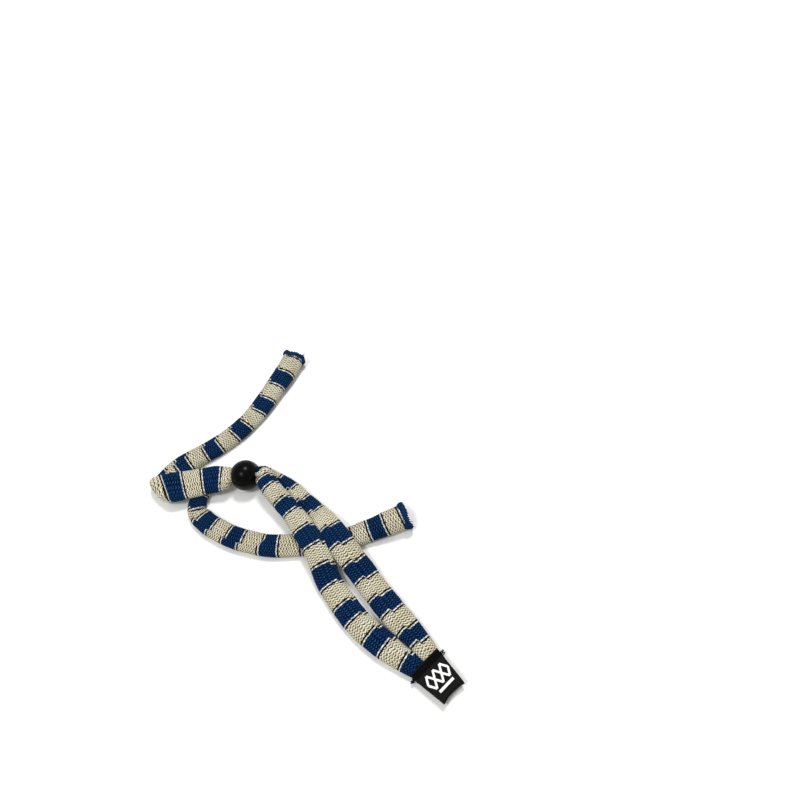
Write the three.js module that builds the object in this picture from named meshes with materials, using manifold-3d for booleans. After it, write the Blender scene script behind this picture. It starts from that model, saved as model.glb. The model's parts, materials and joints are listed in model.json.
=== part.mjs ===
// Eyeglass retainer strap: two knitted tubes whose open ends pull over the temple tips of a pair of
// glasses, a bead that slides along both tubes, and a folded ribbon label that joins the tube ends.
// Millimetres, +Z up. The strap lies on a table at z = 0. +X runs from the bead towards the label.

import * as THREE from 'three';
import { mergeVertices } from 'three/addons/utils/BufferGeometryUtils.js';
import Module from 'manifold-3d';

const wasm = await Module();
wasm.setup();

// ---------- driving dimensions ----------

const GAP = 0.3;                  // clearance between neighbouring solids
const CUTTER = 60;                // size of a cutting block, larger than any piece that it cuts
const TUBE_SIDES = 16;            // facets round a tube's section
const TUBE_STEP = 5;              // longest ring spacing along a tube
const SQUARENESS = 2.6;           // exponent of the tube's flattened oval, where 2 is an ellipse

const BEAD_DIAMETER = 14.5;
const BEAD_BORE = 7;
const BEAD_HEADING = THREE.MathUtils.degToRad(50);   // direction of the bore, from +X towards +Y

const HEM_LENGTH = 2.2;
const HEM_OUTER = [12.6, 9.6];    // width and height of the rolled hem
const HEM_INNER = [9.4, 6.6];
const SLEEVE_WALL = 1.0;          // knitted wall round the open pocket
const LEFT_PIVOT = 36;            // distance from the left mouth to where its sleeve swings
const RIGHT_PIVOT = 17;
const KNUCKLE = 5.5;              // radius of the rounded strap end that a sleeve swings round

const UNDERPASS = [25, 60];       // the stretch of the right strap that lies under both tails
const RIGHT_RUN_END = 97;

const LABEL_MOUTH_X = 122.6;      // where the ribbon label starts
const LABEL_LENGTH = 17;
const LABEL_MOUTH_WIDTH = 14.6;
const LABEL_FOLD_WIDTH = 11;
const LABEL_THICK = 3.6;          // at the mouth, over the sewn-in tube ends
const LABEL_FOLD_THICK = 2.0;
const RIBBON = 0.5;               // thickness of one ply
const LABEL_HEIGHT = 2.3;         // middle of the mouth above the table
const LABEL_LIFT = THREE.MathUtils.degToRad(4);      // the folded end stands a little off the table
const SEAM_START = 1.0;           // stitched band, from the mouth
const SEAM_LENGTH = 2.2;
const SEAM_RISE = 0.35;
const SEAM_CLEARANCE = 0.05;      // between the ribbon and the stitches round it
const PRINT_RISE = 0.12;
const PRINT_CLEARANCE = 0.05;     // between the ribbon and the print on it
const THREAD_LENGTH = 2.2;        // loose thread at each end of the seam
const THREAD_RADII = [0.35, 0.6];
const THREAD_LEAN = 0.5;          // radians
const DIAMONDS = 3;               // printed across the label
const DIAMOND_PITCH = 3.4;
const DIAMOND_ENDS = [5.2, 11];   // from the mouth
const DIAMOND_LINE = 0.42;        // half the gap between two diamonds
const BAR_ENDS = [12.2, 13.3];    // from the mouth
const BAR_HALF = 3.6;

// Middle of the strap's outline on the table, measured from the bead, so that the origin is below it.
const ORIGIN_FROM_BEAD = [45.2, 15];

// The flat fold where the left strap turns back over itself.
const FOLD_MIDDLE = [-25.4, -32.2];
const FOLD_HEADING = THREE.MathUtils.degToRad(-3);   // direction of the crease, from +X
const FOLD_WIDTH = 15.4;
const FOLD_LAYER = 4.2;           // height of one layer of the flattened tube
const FOLD_LOW = 2.1;             // middle of the lower layer above the table
const FOLD_HIGH = 6.7;            // middle of the upper layer
const FOLD_STEPS = 8;             // facets round the half turn

// ---------- routes, in mm from the bead's centre and up from the table ----------

const LEFT_RUN = route([
  [-43.5, 62.8, 4.95], [-39, 52.8, 4.5], [-35.8, 43.4, 4], [-32.2, 33.3, 3.3], [-29.2, 22, 2.7],
  [-28.1, 10.3, 2.5], [-28.9, -0.6, 2.5], [-31, -11.7, 2.5], [-31.8, -20.6, 2.4],
  [-29.8, -27.5, 2.1], [-25.4, -32.2, 2.1], [-20.6, -36.6, 2.1],
]);
const LEFT_RETURN = route([
  [-30.4, -36.4, 6.7], [-25.4, -32.2, 6.7], [-22.2, -29.2, 6.7], [-19.9, -26.4, 6.7], [-17.1, -22.6, 6.7],
  [-13.4, -17.1, 6.8], [-10, -12.9, 6.9], [-6.6, -9.7, 7.1], [-4.64, -7.86, 7.2], [-3.35, -6.33, 7.25],
]);
const LEFT_TAIL = route([
  [5.65, 4.4, 7.25], [6.9, 5.3, 7.3], [9.6, 4.6, 7.4], [13.9, 3.7, 7.4], [18.4, 3.8, 7.3], [26.3, 3.7, 6.9],
  [31.7, 3.5, 6.7], [41.9, 2.1, 6.9], [52.2, 0.2, 7], [60.8, -2.3, 5], [68, -5, 3], [75, -6.4, 2.5],
  [84, -7.5, 2.5], [93, -8, 2.5], [103, -7.1, 2.5], [112, -5.8, 2.5], [119, -4.3, 2.4], [125.6, -3.7, 2.5],
]);
const RIGHT_RUN = route([
  [70.8, 39, 4.95], [68.5, 33.5, 4.5], [65.6, 27.4, 3.7], [62.3, 21, 2.8], [58.3, 12.6, 2],
  [51.5, 3.5, 1.9], [45.5, -3.2, 2.1], [39.3, -9.9, 2.4], [32.8, -15.4, 2.5], [25.4, -19.8, 2.5],
  [19.3, -22.8, 2.5], [11.4, -25.4, 2.5], [4.4, -27.1, 2.4], [-3, -27.4, 2.2],
]);
const RIGHT_CURL = route([
  [4.4, -27.1, 2.4], [-3, -27.2, 2.2], [-8.7, -24.2, 2.1], [-11.8, -18.6, 2.1], [-12.6, -12.8, 2.1],
  [-12.4, -8.8, 2.4], [-11.6, -6.8, 4], [-9.4, -6.6, 6], [-6.94, -5.93, 7.2], [-5.65, -4.4, 7.25],
]);
const RIGHT_TAIL = route([
  [3.35, 6.33, 7.25], [4.5, 7.9, 7.1], [7.6, 10.4, 5.8], [12, 11, 3.6], [18, 11.4, 2.5], [23.1, 11.3, 2.4],
  [28.6, 11.2, 2.4], [33.9, 11.4, 2.6], [40.1, 11.3, 3.3], [46.1, 11.2, 4.9], [53.7, 10.7, 6.5],
  [59, 10, 6.6], [66, 9.2, 5.6], [76, 8.3, 3.2], [88.7, 6.8, 2.5], [100.8, 5.6, 2.5], [110.7, 5, 2.5],
  [119, 4.1, 2.4], [125.6, 3.7, 2.5],
]);

// Width and height of each tube at distances along its route: [distance, width, height].
const LEFT_RUN_SIZE = [
  [0, 11.4, 8.8], [8, 11.2, 8.2], [30, 10.8, 6], [42, 10.8, 5], [80, 10.8, 5], [94, 13, 4.2],
];
const LEFT_RETURN_SIZE = [
  [0, 13, 4.2], [12, 13.2, 4.2], [24, 12.4, 4.2], [33, 7, 4.8], [36.3, 4.4, 5.4], [39.3, 3, 5.8],
];
const LEFT_TAIL_SIZE = [
  [0, 3, 5.8], [5, 4.2, 5.4], [12, 6, 4.6], [30, 9, 4.4], [52, 9.8, 4.6], [72, 11, 4.6], [104, 10.4, 4.4],
  [114, 6.8, 3], [120, 6.6, 1.6],
];
const RIGHT_RUN_SIZE = [
  [0, 11.4, 8.8], [8, 11.2, 7.6], [17, 10.8, 5.4], [30, 11, 3.7], [46, 11, 3.8], [58, 10.6, 4.8],
  [90, 10.6, 5], [98, 9.2, 4.4], [106, 8, 4],
];
const RIGHT_CURL_SIZE = [[0, 9.2, 4.4], [8, 8, 4], [20, 7, 4], [27, 5, 4.2], [31, 4.2, 5], [35, 3, 5.8]];
const RIGHT_TAIL_SIZE = [
  [0, 3, 5.8], [5, 4.2, 5.4], [12, 6, 4.6], [30, 9, 4.4], [52, 9.8, 4.6], [72, 11, 4.6], [104, 10.2, 4.4],
  [114, 6.8, 3], [120, 6.6, 1.6],
];

// ---------- materials ----------

const COLOURS = { cream: 0xc8bfa9, navy: 0x1c3a6e, black: 0x141414, satin: 0x0d0d0e, white: 0xf2f2f0 };
const ROUGHNESS = { knit: 0.95, bead: 0.42, satin: 0.6, print: 0.7 };

function finish(colour, roughness) {
  return new THREE.MeshStandardMaterial({ color: colour, roughness, metalness: 0 });
}

const knit = (colour) => finish(colour, ROUGHNESS.knit);

// ---------- helpers ----------

function route(points) {
  const stops = points.map((p) => new THREE.Vector3(...p));
  const curve = new THREE.CatmullRomCurve3(stops, false, 'centripetal');
  curve.arcLengthDivisions = 400;
  return curve;
}

// The frame at a distance along a route: centre, direction along, across and up through the tube.
function frameAlong(curve, distance) {
  const share = THREE.MathUtils.clamp(distance / curve.getLength(), 0, 1);
  const along = curve.getTangentAt(share);
  const across = new THREE.Vector3(0, 0, 1).cross(along).normalize();
  const up = new THREE.Vector3().crossVectors(along, across);
  return { centre: curve.getPointAt(share), along, across, up };
}

// Width and height at a distance, eased between the listed stations.
function sizeAlong(stations, distance) {
  const next = stations.findIndex((station) => station[0] >= distance);
  if (next === 0) return stations[0].slice(1);
  if (next < 0) return stations[stations.length - 1].slice(1);
  const [before, after] = [stations[next - 1], stations[next]];
  const share = THREE.MathUtils.smoothstep(distance, before[0], after[0]);
  return [1, 2].map((i) => THREE.MathUtils.lerp(before[i], after[i], share));
}

// A flattened oval that spans -0.5 to 0.5 both ways, with a level facet at its top and bottom.
function ovalPoints() {
  const round = (v) => Math.sign(v) * Math.abs(v) ** (2 / SQUARENESS);
  const level = round(Math.cos(Math.PI / TUBE_SIDES));
  return Array.from({ length: TUBE_SIDES }, (_, k) => {
    const angle = (k + 0.5) * 2 * Math.PI / TUBE_SIDES;
    return new THREE.Vector2(round(Math.cos(angle)), round(Math.sin(angle))).multiplyScalar(0.5 / level);
  });
}

// The same oval with a hole through it, whose width and height are shares of the outside.
function ovalWithHole(widthShare, heightShare) {
  const outline = new THREE.Shape(ovalPoints());
  const hole = ovalPoints().map((p) => new THREE.Vector2(p.x * widthShare, p.y * heightShare));
  outline.holes.push(new THREE.Path(hole));
  return outline;
}

// Extrudes a unit outline and lays it along frames. frameAt and sizeAt take 0 to 1.
function laidExtrusion(outline, steps, frameAt, sizeAt) {
  const geometry = new THREE.ExtrudeGeometry(outline, { depth: 1, steps, bevelEnabled: false });
  const place = geometry.attributes.position;
  for (let i = 0; i < place.count; i += 1) {
    const share = place.getZ(i);
    const frame = frameAt(share);
    const [width, height] = sizeAt(share);
    const point = frame.centre.clone()
      .addScaledVector(frame.across, place.getX(i) * width)
      .addScaledVector(frame.up, place.getY(i) * height);
    place.setXYZ(i, point.x, point.y, point.z);
  }
  geometry.computeVertexNormals();
  return geometry;
}

// A stretch of tube along a route, between two distances.
function tubeStretch(outline, curve, stations, from, to) {
  const distance = (share) => THREE.MathUtils.lerp(from, to, share);
  return laidExtrusion(outline, Math.ceil((to - from) / TUBE_STEP),
    (share) => frameAlong(curve, distance(share)), (share) => sizeAlong(stations, distance(share)));
}

function toManifold(geometry) {
  const bare = geometry.clone();
  bare.deleteAttribute('normal');
  bare.deleteAttribute('uv');
  const merged = mergeVertices(bare, 1e-4);
  return new wasm.Manifold(new wasm.Mesh({
    numProp: 3,
    vertProperties: new Float32Array(merged.attributes.position.array),
    triVerts: new Uint32Array(merged.index.array),
  }));
}

function fromManifold(solid) {
  const mesh = solid.getMesh();
  const geometry = new THREE.BufferGeometry();
  geometry.setAttribute('position', new THREE.BufferAttribute(mesh.vertProperties, 3));
  geometry.setIndex(new THREE.BufferAttribute(mesh.triVerts, 1));
  geometry.computeVertexNormals();
  return geometry;
}

// An upright cylinder round a frame's centre, for cutting.
function uprightCylinder(frame, radius) {
  const geometry = new THREE.CylinderGeometry(radius, radius, CUTTER, 40);
  geometry.rotateX(Math.PI / 2);
  geometry.translate(frame.centre.x, frame.centre.y, 0);
  return toManifold(geometry);
}

// A block that fills the space before a frame's centre, on the side that the route comes from.
function blockBefore(frame) {
  const geometry = new THREE.BoxGeometry(CUTTER, CUTTER, CUTTER);
  geometry.translate(-CUTTER / 2, 0, 0);
  geometry.rotateZ(Math.atan2(frame.along.y, frame.along.x));
  geometry.translate(frame.centre.x, frame.centre.y, 0);
  return toManifold(geometry);
}

const object = new THREE.Group();
object.position.set(-ORIGIN_FROM_BEAD[0], -ORIGIN_FROM_BEAD[1], 0);

function add(name, geometry, material, parent = object) {
  const mesh = new THREE.Mesh(geometry, material);
  mesh.name = name;
  parent.add(mesh);
}

// ---------- sleeves: the open tube ends that hold the temple tips ----------

// The pocket end of a strap: its hem, and a hollow tube that swings round the strap's rounded end.
function addSleeve(side, curve, stations, pivot) {
  const hemOutline = ovalWithHole(HEM_INNER[0] / HEM_OUTER[0], HEM_INNER[1] / HEM_OUTER[1]);
  const hemFrame = (share) => frameAlong(curve, share * HEM_LENGTH);
  const hem = laidExtrusion(hemOutline, 1, hemFrame, () => HEM_OUTER);
  add(`${side}_sleeve_hem`, hem, knit(COLOURS.navy));
  const [width, height] = sizeAlong(stations, pivot / 2);
  const outline = ovalWithHole(1 - 2 * SLEEVE_WALL / width, 1 - 2 * SLEEVE_WALL / height);
  const tube = tubeStretch(outline, curve, stations, HEM_LENGTH + GAP, pivot);
  const turning = uprightCylinder(frameAlong(curve, pivot), KNUCKLE + GAP);
  add(`${side}_sleeve`, fromManifold(toManifold(tube).subtract(turning)), knit(COLOURS.cream));
}

// A stretch of strap that starts with an end rounded about the sleeve's pivot.
function knuckledStretch(curve, stations, pivot, to) {
  const tube = toManifold(tubeStretch(new THREE.Shape(ovalPoints()), curve, stations, pivot - KNUCKLE, to));
  const frame = frameAlong(curve, pivot);
  return tube.subtract(blockBefore(frame).subtract(uprightCylinder(frame, KNUCKLE)));
}

// ---------- left strap: run, flat fold, and return over the top to the bead ----------

// Half a turn of flattened tube about the crease.
function foldFrame(share) {
  const radius = (FOLD_HIGH - FOLD_LOW) / 2;
  const turn = (share - 0.5) * Math.PI;
  const crease = new THREE.Vector3(Math.cos(FOLD_HEADING), Math.sin(FOLD_HEADING), 0);
  const outward = new THREE.Vector3(Math.sin(FOLD_HEADING), -Math.cos(FOLD_HEADING), 0);
  const centre = new THREE.Vector3(...FOLD_MIDDLE, FOLD_LOW + radius)
    .addScaledVector(outward, radius * Math.cos(turn));
  centre.z += radius * Math.sin(turn);
  const up = outward.clone().multiplyScalar(-Math.cos(turn));
  up.z = -Math.sin(turn);
  return { centre, across: crease, up };
}

function addLeftFold() {
  const plain = new THREE.Shape(ovalPoints());
  const fold = laidExtrusion(plain, FOLD_STEPS, foldFrame, () => [FOLD_WIDTH, FOLD_LAYER]);
  add('left_strap_fold', fold, knit(COLOURS.cream));
}

// Cuts a layer back so that it meets the fold face to face.
function cutAtFold(solid) {
  const block = new THREE.BoxGeometry(CUTTER, CUTTER, CUTTER);
  block.translate(0, GAP - CUTTER / 2, 0);
  block.rotateZ(FOLD_HEADING);
  block.translate(...FOLD_MIDDLE, 0);
  return fromManifold(solid.subtract(toManifold(block)));
}

function addLeftStrap() {
  addSleeve('left', LEFT_RUN, LEFT_RUN_SIZE, LEFT_PIVOT);
  const run = knuckledStretch(LEFT_RUN, LEFT_RUN_SIZE, LEFT_PIVOT, LEFT_RUN.getLength());
  add('left_strap', cutAtFold(run), knit(COLOURS.cream));
  addLeftFold();
  const plain = new THREE.Shape(ovalPoints());
  const back = tubeStretch(plain, LEFT_RETURN, LEFT_RETURN_SIZE, 0, LEFT_RETURN.getLength());
  add('left_strap_return', cutAtFold(toManifold(back)), knit(COLOURS.cream));
  addNeck('left_strap_neck', 1);
  const tail = tubeStretch(plain, LEFT_TAIL, LEFT_TAIL_SIZE, 0, LEFT_TAIL.getLength());
  add('left_tail', tail, knit(COLOURS.navy));
}

// ---------- right strap: under both tails, round in a curl, under the return and into the bead ----------

function addRightStrap() {
  addSleeve('right', RIGHT_RUN, RIGHT_RUN_SIZE, RIGHT_PIVOT);
  const run = knuckledStretch(RIGHT_RUN, RIGHT_RUN_SIZE, RIGHT_PIVOT, UNDERPASS[0] - GAP);
  add('right_strap', fromManifold(run), knit(COLOURS.cream));
  const plain = new THREE.Shape(ovalPoints());
  const under = tubeStretch(plain, RIGHT_RUN, RIGHT_RUN_SIZE, UNDERPASS[0], UNDERPASS[1]);
  add('right_strap_underpass', under, knit(COLOURS.navy));
  const bend = tubeStretch(plain, RIGHT_RUN, RIGHT_RUN_SIZE, UNDERPASS[1] + GAP, RIGHT_RUN_END);
  add('right_strap_bend', bend, knit(COLOURS.cream));
  const curl = tubeStretch(plain, RIGHT_CURL, RIGHT_CURL_SIZE, GAP, RIGHT_CURL.getLength());
  add('right_strap_curl', curl, knit(COLOURS.cream));
  addNeck('right_strap_neck', -1);
  const tail = tubeStretch(plain, RIGHT_TAIL, RIGHT_TAIL_SIZE, 0, RIGHT_TAIL.getLength());
  add('right_tail', tail, knit(COLOURS.navy));
}

// ---------- bead, and the two tubes squeezed through it ----------

const boreLength = 2 * Math.sqrt((BEAD_DIAMETER / 2) ** 2 - (BEAD_BORE / 2) ** 2);

// Turns a geometry whose axis is +Z to lie along the bore, at the bead's place.
function layInBore(geometry) {
  geometry.rotateY(Math.PI / 2);
  geometry.rotateZ(BEAD_HEADING);
  geometry.translate(0, 0, BEAD_DIAMETER / 2);
  return geometry;
}

function addBead() {
  const radius = BEAD_DIAMETER / 2;
  const bore = BEAD_BORE / 2;
  const rim = Math.acos(bore / radius);
  const arcSteps = 12;
  const profile = [];
  for (let i = 0; i <= arcSteps; i += 1) {
    const angle = THREE.MathUtils.lerp(-rim, rim, i / arcSteps);
    profile.push(new THREE.Vector2(radius * Math.cos(angle), radius * Math.sin(angle)));
  }
  profile.push(profile[0].clone());
  const geometry = new THREE.LatheGeometry(profile, 32);
  geometry.rotateX(Math.PI / 2);
  add('slider_bead', layInBore(geometry), finish(COLOURS.black, ROUGHNESS.bead));
}

// Half of the bore's round, to one side of its middle plane, as long as the bore.
function addNeck(name, sideSign) {
  const half = new THREE.Shape();
  half.absarc(0, 0, BEAD_BORE / 2 - GAP, -Math.PI / 2, Math.PI / 2, false);
  half.closePath();
  const settings = { depth: boreLength, steps: 1, bevelEnabled: false, curveSegments: 10 };
  const geometry = new THREE.ExtrudeGeometry(half, settings);
  geometry.translate(GAP / 2, 0, -boreLength / 2);
  geometry.rotateZ(-sideSign * Math.PI / 2);
  add(name, layInBore(geometry), knit(COLOURS.cream));
}

// ---------- label ----------

const label = new THREE.Group();
label.position.set(LABEL_MOUTH_X, 0, LABEL_HEIGHT);
label.rotation.y = -LABEL_LIFT;
object.add(label);

const toFold = (x) => THREE.MathUtils.clamp(x / LABEL_LENGTH, 0, 1);
const labelWidth = (x) => THREE.MathUtils.lerp(LABEL_MOUTH_WIDTH, LABEL_FOLD_WIDTH, toFold(x));
const labelHalf = (x) => THREE.MathUtils.lerp(LABEL_THICK, LABEL_FOLD_THICK, toFold(x)) / 2;

// A ribbon folded in two: its side outline, extruded across and narrowed towards the folded end.
function addRibbon() {
  const foldAt = LABEL_LENGTH - LABEL_FOLD_THICK / 2;
  const end = labelHalf(foldAt);
  const side = new THREE.Shape();
  side.moveTo(0, labelHalf(0));
  side.lineTo(0, labelHalf(0) - RIBBON);
  side.lineTo(foldAt, end - RIBBON);
  side.absarc(foldAt, 0, end - RIBBON, Math.PI / 2, -Math.PI / 2, true);
  side.lineTo(0, RIBBON - labelHalf(0));
  side.lineTo(0, -labelHalf(0));
  side.lineTo(foldAt, -end);
  side.absarc(foldAt, 0, end, -Math.PI / 2, Math.PI / 2, false);
  side.closePath();
  const settings = { depth: 1, steps: 1, bevelEnabled: false, curveSegments: 8 };
  const geometry = new THREE.ExtrudeGeometry(side, settings);
  geometry.translate(0, 0, -0.5);
  geometry.rotateX(Math.PI / 2);
  const place = geometry.attributes.position;
  for (let i = 0; i < place.count; i += 1) {
    place.setY(i, place.getY(i) * labelWidth(place.getX(i)));
  }
  geometry.computeVertexNormals();
  add('label_ribbon', geometry, finish(COLOURS.satin, ROUGHNESS.satin), label);
}

// A closed band of stitches round the ribbon, just inside its mouth.
function addSeam() {
  const wide = labelWidth(SEAM_START) / 2 + SEAM_CLEARANCE;
  const high = labelHalf(SEAM_START) + SEAM_CLEARANCE;
  const corners = [[-1, -1], [1, -1], [1, 1], [-1, 1]];
  const loop = (y, z) => corners.map((c) => new THREE.Vector2(c[0] * y, c[1] * z));
  const band = new THREE.Shape(loop(wide + SEAM_RISE, high + SEAM_RISE));
  band.holes.push(new THREE.Path(loop(wide, high)));
  const settings = { depth: SEAM_LENGTH, steps: 1, bevelEnabled: false };
  const geometry = new THREE.ExtrudeGeometry(band, settings);
  geometry.rotateX(Math.PI / 2);
  geometry.rotateZ(Math.PI / 2);
  geometry.translate(SEAM_START, 0, 0);
  add('label_seam', geometry, knit(COLOURS.black), label);
}

// Loose thread at one end of the seam.
function addThreadEnd(name, sideSign) {
  const geometry = new THREE.CylinderGeometry(...THREAD_RADII, THREAD_LENGTH, 8);
  geometry.rotateZ(THREAD_LEAN);
  if (sideSign < 0) geometry.rotateX(Math.PI);
  const seamSide = labelWidth(SEAM_START) / 2 + SEAM_CLEARANCE + SEAM_RISE;
  const middle = seamSide + GAP + THREAD_LENGTH / 2;
  geometry.translate(SEAM_START + THREAD_RADII[1], sideSign * middle, 0);
  add(name, geometry, knit(COLOURS.black), label);
}

// Lays a flat outline on the ribbon's sloping top face. Its x runs towards the fold and its y across.
function printOnLabel(name, outline) {
  const slope = Math.atan((LABEL_THICK - LABEL_FOLD_THICK) / 2 / LABEL_LENGTH);
  const geometry = new THREE.ExtrudeGeometry(outline, { depth: PRINT_RISE, steps: 1, bevelEnabled: false });
  geometry.translate(0, 0, PRINT_CLEARANCE);
  geometry.rotateY(slope);
  geometry.translate(0, 0, labelHalf(0));
  add(name, geometry, finish(COLOURS.white, ROUGHNESS.print), label);
}

// A diamond about a centre, which reaches long along the label and wide across it.
function diamondPath(x, y, long, wide) {
  const path = new THREE.Path();
  path.moveTo(x - long, y);
  path.lineTo(x, y - wide);
  path.lineTo(x + long, y);
  path.lineTo(x, y + wide);
  path.closePath();
  return path;
}

// A plain woven-ribbon motif: a chain of open diamonds across the label, and a bar under it.
function addPrint() {
  const [near, far] = DIAMOND_ENDS;
  const middle = (near + far) / 2;
  const side = (i) => (i - DIAMONDS / 2) * DIAMOND_PITCH;
  const outline = new THREE.Shape();
  outline.moveTo(middle - DIAMOND_LINE, side(0));
  for (let i = 0; i < DIAMONDS; i += 1) {
    outline.lineTo(near, side(i + 0.5));
    outline.lineTo(middle - DIAMOND_LINE, side(i + 1));
  }
  outline.lineTo(middle + DIAMOND_LINE, side(DIAMONDS));
  for (let i = DIAMONDS - 1; i >= 0; i -= 1) {
    outline.lineTo(far, side(i + 0.5));
    outline.lineTo(middle + DIAMOND_LINE, side(i));
  }
  outline.closePath();
  for (let i = 0; i < DIAMONDS; i += 1) {
    outline.holes.push(diamondPath(middle, side(i + 0.5), (middle - near) / 2, DIAMOND_PITCH / 4));
  }
  printOnLabel('label_print_motif', outline);
  const bar = new THREE.Shape();
  bar.moveTo(BAR_ENDS[0], -BAR_HALF);
  bar.lineTo(BAR_ENDS[1], -BAR_HALF);
  bar.lineTo(BAR_ENDS[1], BAR_HALF);
  bar.lineTo(BAR_ENDS[0], BAR_HALF);
  bar.closePath();
  printOnLabel('label_print_bar', bar);
}

addLeftStrap();
addRightStrap();
addBead();
addRibbon();
addSeam();
addThreadEnd('label_thread_end_left', 1);
addThreadEnd('label_thread_end_right', -1);
addPrint();

export default object;
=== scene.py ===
"""Looks of the eyeglass retainer strap: two striped knitted tubes, a sliding bead and a folded label.

The frame is in metres. Lengths here are in millimetres, and points start from the table under the
bead's centre, as in the CAD source. new_object scales each mesh and moves it to the frame.
"""

import json
import math

import bpy
import numpy as np
from mathutils import Matrix, Vector

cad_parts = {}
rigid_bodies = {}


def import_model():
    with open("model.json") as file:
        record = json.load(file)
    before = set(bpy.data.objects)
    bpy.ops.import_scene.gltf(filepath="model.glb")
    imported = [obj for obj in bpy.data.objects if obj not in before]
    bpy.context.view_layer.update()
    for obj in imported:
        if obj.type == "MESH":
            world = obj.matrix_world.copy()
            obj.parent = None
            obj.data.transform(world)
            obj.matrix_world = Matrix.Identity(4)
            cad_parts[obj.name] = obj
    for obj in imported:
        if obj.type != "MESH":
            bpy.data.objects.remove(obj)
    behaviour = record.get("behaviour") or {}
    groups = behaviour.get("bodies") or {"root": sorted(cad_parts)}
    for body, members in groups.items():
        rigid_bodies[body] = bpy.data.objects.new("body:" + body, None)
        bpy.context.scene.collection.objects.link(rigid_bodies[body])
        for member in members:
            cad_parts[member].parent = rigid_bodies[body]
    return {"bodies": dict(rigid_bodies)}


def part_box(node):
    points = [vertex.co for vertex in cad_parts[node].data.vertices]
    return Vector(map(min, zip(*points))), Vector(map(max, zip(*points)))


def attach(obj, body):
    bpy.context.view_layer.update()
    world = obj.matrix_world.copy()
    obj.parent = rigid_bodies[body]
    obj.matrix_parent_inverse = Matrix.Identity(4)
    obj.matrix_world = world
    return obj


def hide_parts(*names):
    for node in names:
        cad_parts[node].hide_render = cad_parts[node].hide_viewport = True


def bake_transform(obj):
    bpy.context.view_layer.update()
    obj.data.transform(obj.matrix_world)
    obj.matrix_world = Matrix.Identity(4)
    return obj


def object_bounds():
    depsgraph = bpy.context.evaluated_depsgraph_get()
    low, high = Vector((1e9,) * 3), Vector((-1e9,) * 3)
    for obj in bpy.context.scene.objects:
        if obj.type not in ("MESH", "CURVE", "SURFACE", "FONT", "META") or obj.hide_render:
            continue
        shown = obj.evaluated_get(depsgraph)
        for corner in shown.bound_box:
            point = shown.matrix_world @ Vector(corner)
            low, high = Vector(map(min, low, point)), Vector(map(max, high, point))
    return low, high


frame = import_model()
cad_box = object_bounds()

MM = 0.001

# ---------- driving dimensions, in mm ----------

bead_low, bead_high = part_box("slider_bead")
BEAD = np.array([(bead_low.x + bead_high.x) / 2, (bead_low.y + bead_high.y) / 2, 0]) / MM
BEAD_RADIUS = (bead_high.z - bead_low.z) / 2 / MM
BEAD_BORE = 3.5  # radius of the bore
BEAD_HEADING = math.radians(50)
BORE_MOUTH = math.sqrt(BEAD_RADIUS**2 - BEAD_BORE**2)  # from the bead's centre along the bore
BEAD_AHEAD = np.array([math.cos(BEAD_HEADING), math.sin(BEAD_HEADING), 0])
BEAD_LEFT = np.array([-math.sin(BEAD_HEADING), math.cos(BEAD_HEADING), 0])

COURSE = 1.2  # height of one row of stitches
WALES = 22  # columns of stitches round a tube
STITCH_POINTS = 4  # mesh points across a stitch, each way
SIDES = WALES * STITCH_POINTS
RING_STEP = COURSE / STITCH_POINTS
SQUARENESS = 2.4  # of the tubes' oval section, 2 for a plain ellipse
WALL = 1.0  # thickness of the knit at the open ends
RIGHT_KINK = [-4.6, -26.8, 2.2]  # where the right tube creases
JOG = 1.6  # a stripe meets its own start this much further along, once round the tube
SPLIT_AT = 70  # distance from the mouth at which a tube's front and back pieces meet

FOLD_MIDDLE = np.array([-25.4, -32.2])  # on the line where the lower layer starts to wrap
FOLD_HEADING = math.radians(-3)  # of that line
FOLD_LOW = 2.1  # heights of the middles of the two layers
FOLD_HIGH = 6.7

LABEL_MOUTH_X = 122.6
LABEL_HEIGHT = 2.3  # of the middle of its mouth
LABEL_LIFT = math.radians(4)

# ---------- routes ----------

# These are the CAD source's routes, except that beside the bead the tails leave one above the other,
# up to about 2 mm from the CAD's, and the right tail runs up to 1 mm closer to the left one.

LEFT_RUN = [
    [-43.5, 62.8, 4.95], [-39, 52.8, 4.5], [-35.8, 43.4, 4], [-32.2, 33.3, 3.3], [-29.2, 22, 2.7],
    [-28.1, 10.3, 2.5], [-28.9, -0.6, 2.5], [-31, -11.7, 2.5], [-31.8, -20.6, 2.4], [-29.8, -27.5, 2.1],
]
LEFT_RETURN = [
    [-22.2, -29.2, 6.7], [-19.9, -26.4, 6.7], [-17.1, -22.6, 6.7], [-13.4, -17.1, 6.9],
    [-10, -12.5, 7.2], [-7, -9.2, 7.4], [-4.9, -7.4, 7.4], [-3.35, -6.33, 7.25],
]
LEFT_TAIL = [
    [5.65, 4.4, 7.25], [7, 5.5, 7.8], [9.8, 5.2, 8.2], [13.9, 4.4, 8], [18.4, 4.1, 7.6],
    [26.3, 3.7, 6.9], [31.7, 3.5, 6.7], [41.9, 2.1, 6.9], [52.2, 0.2, 7], [60.8, -2.3, 5], [68, -5, 3],
    [75, -6.4, 2.5], [84, -7.5, 2.5], [93, -8, 2.5], [103, -7.1, 2.5], [112, -5.8, 2.5], [119, -4.3, 2.4],
    [125.6, -3.7, 2.5],
]
RIGHT_RUN = [
    [70.8, 39, 4.95], [68.5, 33.5, 4.5], [65.6, 27.4, 3.7], [62.3, 21, 2.8], [58.3, 12.6, 2],
    [51.5, 3.5, 1.9], [45.5, -3.2, 2.1], [39.3, -9.9, 2.4], [32.8, -15.4, 2.5], [25.4, -19.8, 2.5],
    [19.3, -22.8, 2.5], [11.4, -25.4, 2.5],
]
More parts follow.
